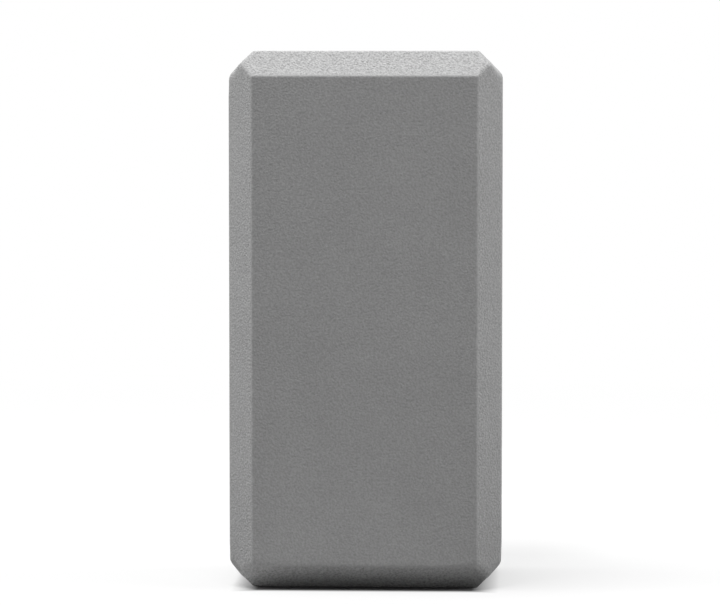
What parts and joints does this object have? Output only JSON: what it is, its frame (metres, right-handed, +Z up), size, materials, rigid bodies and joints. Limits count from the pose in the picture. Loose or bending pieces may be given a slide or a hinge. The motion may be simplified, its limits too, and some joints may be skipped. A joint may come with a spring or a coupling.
{
  "type": "yoga block",
  "caption": "Upright foam yoga block with bevelled edges, bonded from foam slabs; it rests on any face and props up hands, hips, head or back.",
  "frame": {"origin": "middle of the end that the block stands on", "axes": "+Z up the block's length, +X to the right seen from the front, +Y from the front broad face to the rear one"},
  "size_m": [0.1116, 0.07, 0.22],
  "materials": {
    "foam": "matte grey closed-cell foam with a fine grain, a little coarser on the milled bevels",
    "adhesive": "dried contact adhesive, darker than the foam"
  },
  "bodies": {
    "root": {"front_foam_slab": "foam", "rear_foam_slab": "foam", "bond_film": "adhesive"}
  },
  "joints": []
}
